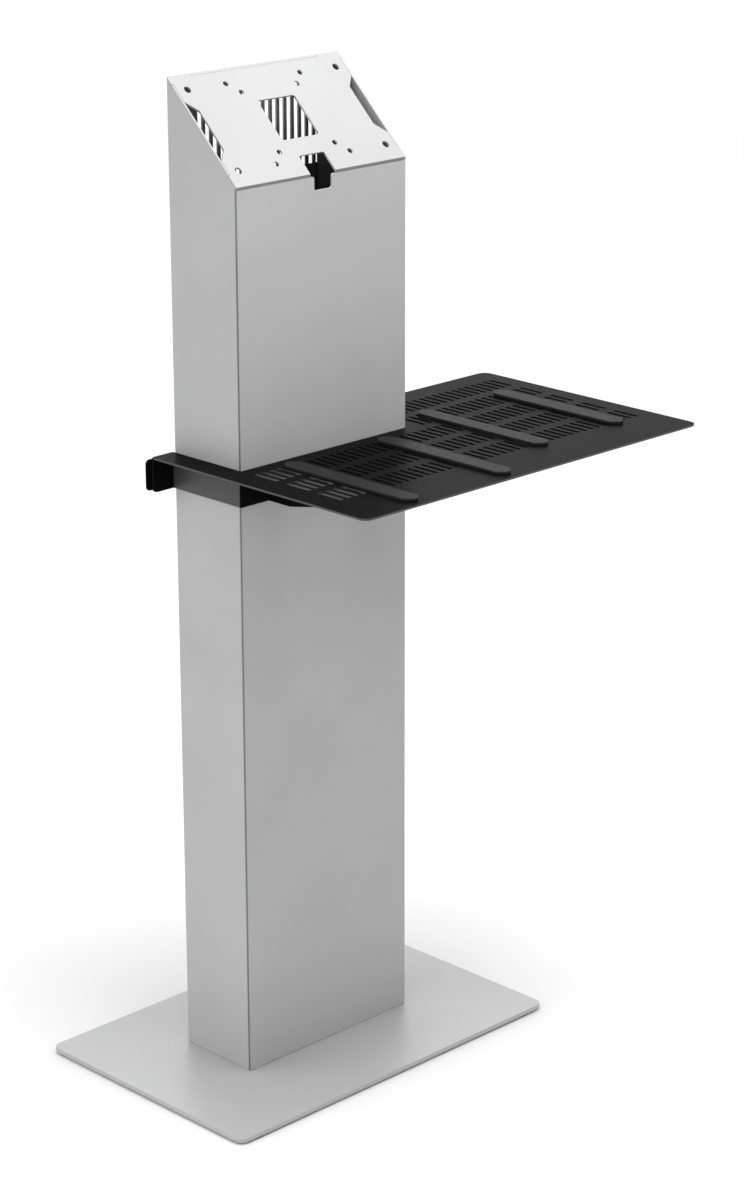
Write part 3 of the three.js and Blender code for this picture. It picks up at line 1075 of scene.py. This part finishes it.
@dataclass
class Column:
    """The folded column: two side channels, a hung front panel and a screwed rear panel."""

    shop: Workshop
    fold: float = 0.0012
    cut: float = 0.00035
    side_from: float = 0.1
    hooks: int = 4
    rear_screws: int = 6
    shank_share: float = 0.53
    recess: SocketRecess = SocketRecess(0.0025, 0.0016)

    def build(self) -> None:
        """Builds the walls, panels, hooks and rear screws."""
        sheet = self.shop.sheet
        # inner faces take a painted shade that darkens with depth
        inside = (Coat.INSIDE, ColumnShell.measured().is_inside)
        for side in Side:
            self.wall(side, inside)
        # the front panel's side cut edges take a painted shade for the seam line at the corners
        cut, side_seam_shade = [Rounding(self.cut)], (Coat.CUT, self.is_side_seam_shade)
        sheet("front_panel", "front_sheet", Body.COLUMN, Coat.LIGHT, cut, side_seam_shade, inside)
        sheet("rear_panel", "rear_sheet", Body.COLUMN, Coat.LIGHT, [SHEARED], inside)
        for number in range(1, self.hooks + 1):
            node = f"panel_hook_{number}"
            sheet(node, f"hook_{number}", Body.COLUMN, Coat.INSIDE, [SHEARED])
        for number in range(1, self.rear_screws + 1):
            self.rear_screw(number)

    def is_side_seam_shade(self, face: bmesh.types.BMFace) -> bool:
        """Tells whether a face is the front panel's cut edge on its left or right."""
        at_side = abs(face.calc_center_median().x) > self.side_from
        return at_side and abs(face.normal.x) > SQUARE_ON

    def wall(self, side: Side, inside: tuple[Coat, FaceTest]) -> None:
        """Copies one side channel and rounds its front fold more than its cut edges.

        Args:
            side: Which channel.
            inside: The inner faces' painted depth shade, and the test for them.
        """
        name = side.name.lower()
        low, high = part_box(f"side_{name}")
        outer = low.x if side is Side.LEFT else high.x

        def at_fold(edge: bmesh.types.BMEdge) -> bool:
            """Tells whether an edge is the channel's outer front fold."""
            x, y, _ = middle(edge)
            return runs_along(edge, 2) and abs(x - outer) < TOUCH and abs(y - low.y) < TOUCH

        roundings = [Rounding(self.fold, 4, at_fold), SHEARED]
        piece = f"wall_{name}"
        self.shop.sheet(f"side_{name}", piece, Body.COLUMN, Coat.LIGHT, roundings, inside)

    def rear_screw(self, number: int) -> None:
        """Builds one countersunk screw in the rear panel.

        Args:
            number: The screw's number.
        """
        node, name = f"rear_screw_{number}", f"panel_screw_{number}"
        low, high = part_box(node)
        head = (high.x - low.x) / 2
        at = ((low.x + high.x) / 2, high.y, (low.z + high.z) / 2)
        screw = CountersunkScrew(head, head * self.shank_share, high.y - low.y, self.recess)
        self.shop.fastener(screw.mesh(), name, Body.COLUMN, Coat.ZINC, node, at, Facing.REAR)


@dataclass
class Head:
    """The sloping plate that a screen is screwed to.

    A drilled hole's wall is made of facets smaller than hole_facet, in square metres.
    """

    shop: Workshop
    slope: HeadSlope
    cut: float = 0.00012
    hole_facet: float = 2.2e-6
    flat: float = 0.95
    underside: float = -0.5

    def build(self) -> None:
        """Copies the plate with its holes and rounds every cut edge a little."""
        # painted shade on the front end and hole walls; the underside takes the depth shade
        others = [(Coat.CUT, self.is_seam_shade_face), (Coat.INSIDE, self.is_under)]
        edge = [Rounding(self.cut, 1)]
        self.shop.sheet("head_plate", "head_sheet", Body.COLUMN, Coat.LIGHT, edge, *others)

    def is_seam_shade_face(self, face: bmesh.types.BMFace) -> bool:
        """Tells whether a face is the plate's front end or a drilled hole's wall, given painted
        shade.
        """
        in_face = abs(face.normal.dot(Vector(self.slope.normal))) > self.flat
        return not in_face and (face.normal.y < -self.flat or face.calc_area() < self.hole_facet)

    def is_under(self, face: bmesh.types.BMFace) -> bool:
        """Tells whether a face is part of the plate's underside."""
        return face.normal.z < self.underside


@dataclass
class Shelf:
    """The perforated shelf with its arms' tabs, grip strips, collar, rail and ribs.

    Each weld's middle lies weld_out beside its rib or rail and weld_down below the shelf, and
    the seams start weld_in from a rib's ends and rail_in from the rail's.
    """

    shop: Workshop
    fold: float = 0.0018
    cut: float = 0.0003
    strips: int = 4
    strip_edge: float = 0.0009
    margin: float = 0.0015
    nut_hole: float = 0.0028
    weld_down: float = 0.0002
    weld_out: float = 0.0004
    weld_in: float = 0.006
    rail_in: float = 0.004
    rib_names: tuple[str, ...] = ("rib_left", "rib_right", "rib_far_front", "rib_far_rear")

    def build(self) -> None:
        """Builds the shelf's sheets, strips, ribs, nuts and weld seams."""
        sheet = self.shop.sheet
        self.plate()
        for number in range(1, self.strips + 1):
            node, edge = f"grip_strip_{number}", [Rounding(self.strip_edge, 3)]
            sheet(node, f"strip_{number}", Body.SHELF, Coat.STRIP, edge)
        for name in ("collar_left", "collar_right"):
            sheet(name, f"{name}_sheet", Body.SHELF, Coat.SATIN, [SHEARED])
        for name in ("collar_rail", *self.rib_names):
            sheet(name, f"{name}_sheet", Body.SHELF, Coat.BLACK, [SHEARED])
        for side in Side:
            self.nut(side)
        self.welds()

    def plate(self) -> None:
        """Copies the perforated sheet and tabs; some cut edges glossier, with a painted
        highlight.
        """
        low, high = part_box("shelf_plate")
        first_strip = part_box("grip_strip_1")[0]

        def at_fold(edge: bmesh.types.BMEdge) -> bool:
            """Tells whether an edge is the outer fold of a tab.

            Args:
                edge: The edge.

            Returns:
                Whether it is.
            """
            x, y, z = middle(edge)
            at_top = abs(y - high.y) < TOUCH and abs(z - high.z) < TOUCH
            return runs_along(edge, 0) and at_top and abs(x) < -low.x

        def at_painted_highlight(face: bmesh.types.BMFace) -> bool:
            """Tells whether a face is a cut edge that gets a painted highlight.

            Args:
                face: The face.

            Returns:
                True on the sheet's right and front border and left of the first strip.
            """
            x, y, z = face.calc_center_median()
            in_sheet = z > high.z - 2 * self.margin and y < high.y - 2 * self.margin
            at_border = x > high.x - self.margin or y < low.y + self.margin
            upright = abs(face.normal.z) < SQUARE_ON
            return in_sheet and upright and (at_border or x < first_strip.x)

        roundings = [Rounding(self.fold, 4, at_fold), Rounding(self.cut, 1)]
        # cut edges at the border and left of the first strip: glossier satin with a painted
        # highlight
        highlight_edge = (Coat.SATIN, at_painted_highlight)
        names = ("shelf_plate", "shelf_sheet")
        self.shop.sheet(*names, Body.SHELF, Coat.BLACK, roundings, highlight_edge)

    def nut(self, side: Side) -> None:
        """Builds the nut behind one arm's tab.

        Args:
            side: Which arm.
        """
        node, name = f"clamp_nut_{side.name.lower()}", f"nut_{side.name.lower()}"
        low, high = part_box(node)
        bm = HexNut(high.z - low.z, high.y - low.y, self.nut_hole).mesh()
        at = ((low.x + high.x) / 2, low.y, (low.z + high.z) / 2)
        self.shop.fastener(bm, name, Body.SHELF, Coat.BLACK, node, at, Facing.REAR)

    def welds(self) -> None:
        """Builds the stitch welds under the shelf, along its ribs and its rail."""
        bm = bmesh.new()
        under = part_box("rib_left")[1].z - self.weld_down
        for name in self.rib_names:
            low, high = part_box(name)
            front, rear = low.y + self.weld_in, high.y - self.weld_in
            for x in (low.x - self.weld_out, high.x + self.weld_out):
                for seam in stitches((x, front, under), (x, rear, under)):
                    seam.mesh(bm)
        low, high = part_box("collar_rail")
        y, left, right = low.y - self.weld_out, low.x + self.rail_in, high.x - self.rail_in
        for seam in stitches((left, y, under), (right, y, under)):
            seam.mesh(bm)
        self.shop.settle(bm, "shelf_welds", Body.SHELF, Coat.BLACK, even=False)


@dataclass
class Clamp:
    """The strip behind the column that two screws pull against the shelf's tabs.

    Its folds lie between fold_from and fold_to to either side of the middle.
    """

    shop: Workshop
    fold: float = 0.0009
    fold_from: float = 0.108
    fold_to: float = 0.116
    head_length: float = 0.005
    shank: float = 0.0025
    recess: SocketRecess = SocketRecess(0.0035, 0.0025)

    def build(self) -> None:
        """Builds the strip with its rounded folds, and the two screws."""
        roundings = [Rounding(self.fold, 3, self.at_fold), SHEARED]
        self.shop.sheet("rear_clamp", "clamp_sheet", Body.CLAMP, Coat.BLACK, roundings)
        for side in Side:
            self.screw(side)

    def at_fold(self, edge: bmesh.types.BMEdge) -> bool:
        """Tells whether an edge is part of the strip's upright folds."""
        return runs_along(edge, 2) and self.fold_from < abs(middle(edge).x) < self.fold_to

    def screw(self, side: Side) -> None:
        """Builds one socket-head screw that looks to the rear.

        Args:
            side: Which screw.
        """
        node, name = f"clamp_screw_{side.name.lower()}", f"cap_screw_{side.name.lower()}"
        low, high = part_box(node)
        at = ((low.x + high.x) / 2, high.y, (low.z + high.z) / 2)
        head, length = (high.x - low.x) / 2, high.y - low.y - self.head_length
        bm = CapScrew(head, self.head_length, self.shank, length, self.recess).mesh()
        self.shop.fastener(bm, name, Body.CLAMP, Coat.ZINC, node, at, Facing.REAR)


# ---- studio ------------------------------------------------------------------------------
@dataclass(frozen=True)
class Softbox:
    """A rectangular area light that looks at a point of the stand."""

    name: str
    place: Point
    aim: Point
    width: float
    height: float
    power: float

    def build(self) -> None:
        """Adds the light to the scene."""
        data = bpy.data.lights.new(self.name, "AREA")
        data.shape = "RECTANGLE"
        data.size = self.width
        data.size_y = self.height
        data.energy = self.power
        light = bpy.data.objects.new(self.name, data)
        light.location = self.place
        way = Vector(self.aim) - Vector(self.place)
        light.rotation_euler = way.to_track_quat("-Z", "Y").to_euler()
        light.visible_camera = False
        bpy.context.scene.collection.objects.link(light)


@dataclass(frozen=True)
class WideLamp:
    """A distant light spread over a wide angle, like a lit wall of the studio.

    Azimuth 0 is +Y and 90 is +X.
    """

    name: str
    azimuth_deg: float
    elevation_deg: float
    spread_deg: float
    power: float

    def build(self) -> None:
        """Adds the light to the scene."""
        data = bpy.data.lights.new(self.name, "SUN")
        data.energy = self.power
        data.angle = math.radians(self.spread_deg)
        light = bpy.data.objects.new(self.name, data)
        azimuth, elevation = math.radians(self.azimuth_deg), math.radians(self.elevation_deg)
        level = math.cos(elevation)
        way = Vector((math.sin(azimuth) * level, math.cos(azimuth) * level, math.sin(elevation)))
        light.rotation_euler = (-way).to_track_quat("-Z", "Y").to_euler()
        bpy.context.scene.collection.objects.link(light)


@dataclass
class Studio:
    """The pale floor, the soft light and the camera."""

    floor_half: float = 30.0
    floor_tone: float = 0.68
    floor_light: float = 1.01
    floor_cloud: Grain = Grain(1.5, 1.0)
    floor_roughness: float = 0.9
    floor_gloss: float = 0.1
    sky: float = 1.03
    camera_place: Point = (-2.131123, -2.267684, 1.531040)
    camera_turn_deg: Point = (71.529504, 0.131030, -44.701084)
    lens: float = 94.93967
    sensor: float = 36.0
    clip: tuple[float, float] = (0.05, 100.0)
    lamps: tuple[Softbox | WideLamp, ...] = (
        Softbox("high_front", (0.15, -0.6, 2.5), (0.0, 0.0, 0.9), 1.0, 1.0, 38.0),
        Softbox("rear_low", (2.3, 2.3, 1.6), (0.1, 0.0, 0.66), 1.6, 1.2, 3.0),
        Softbox("rear_wide", (3.2, 3.2, 1.9), (0.1, 0.0, 0.4), 5.0, 2.0, 22.0),
        Softbox("backdrop", (6.0, 6.0, 4.0), (6.0, 6.0, 0.0), 7.0, 7.0, 110.0),
        WideLamp("left_wall", -75.0, 35.0, 60.0, 1.08),
    )

    def build(self) -> None:
        """Builds the floor, the sky, the lights and the camera."""
        self.floor()
        self.world()
        for lamp in self.lamps:
            lamp.build()
        self.camera()

    def floor(self) -> None:
        """Builds the plain floor."""
        bm = bmesh.new()
        bmesh.ops.create_grid(bm, x_segments=1, y_segments=1, size=self.floor_half)
        mesh = bpy.data.meshes.new("floor")
        bm.to_mesh(mesh)
        bm.free()
        sketch = NodeSketch("floor_paint")
        sketch.vary_tone((self.floor_tone,) * 3, self.floor_cloud, 1.0, self.floor_light)
        sketch.fix(Roughness=self.floor_roughness, Specular_IOR_Level=self.floor_gloss)
        mesh.materials.append(sketch.material)
        floor = bpy.data.objects.new("floor", mesh)
        bpy.context.scene.collection.objects.link(floor)

    def world(self) -> None:
        """Sets the even pale sky and a plain display transform."""
        world = bpy.data.worlds.new("studio_sky")
        world.use_nodes = True
        background = world.node_tree.nodes["Background"]
        background.inputs["Color"].default_value = (1.0, 1.0, 1.0, 1.0)
        background.inputs["Strength"].default_value = self.sky
        bpy.context.scene.world = world
        bpy.context.scene.view_settings.view_transform = "Standard"

    def camera(self) -> None:
        """Adds the camera."""
        data = bpy.data.cameras.new("camera")
        data.lens = self.lens
        data.sensor_width = self.sensor
        data.clip_start, data.clip_end = self.clip
        camera = bpy.data.objects.new("camera", data)
        camera.location = self.camera_place
        camera.rotation_euler = tuple(math.radians(a) for a in self.camera_turn_deg)
        bpy.context.scene.collection.objects.link(camera)
        bpy.context.scene.camera = camera


def main() -> None:
    """Builds the stand and its studio in order."""
    logging.basicConfig(level=logging.INFO, format="%(name)s %(message)s")
    slope = HeadSlope.measured()
    shop = Workshop(Finishes(slope))
    stand = (Base(shop), Column(shop), Head(shop, slope), Shelf(shop), Clamp(shop))
    for assembly in (Studio(), *stand):
        assembly.build()
        LOG.info("%s done", type(assembly).__name__)


if __name__ == "__main__":
    main()
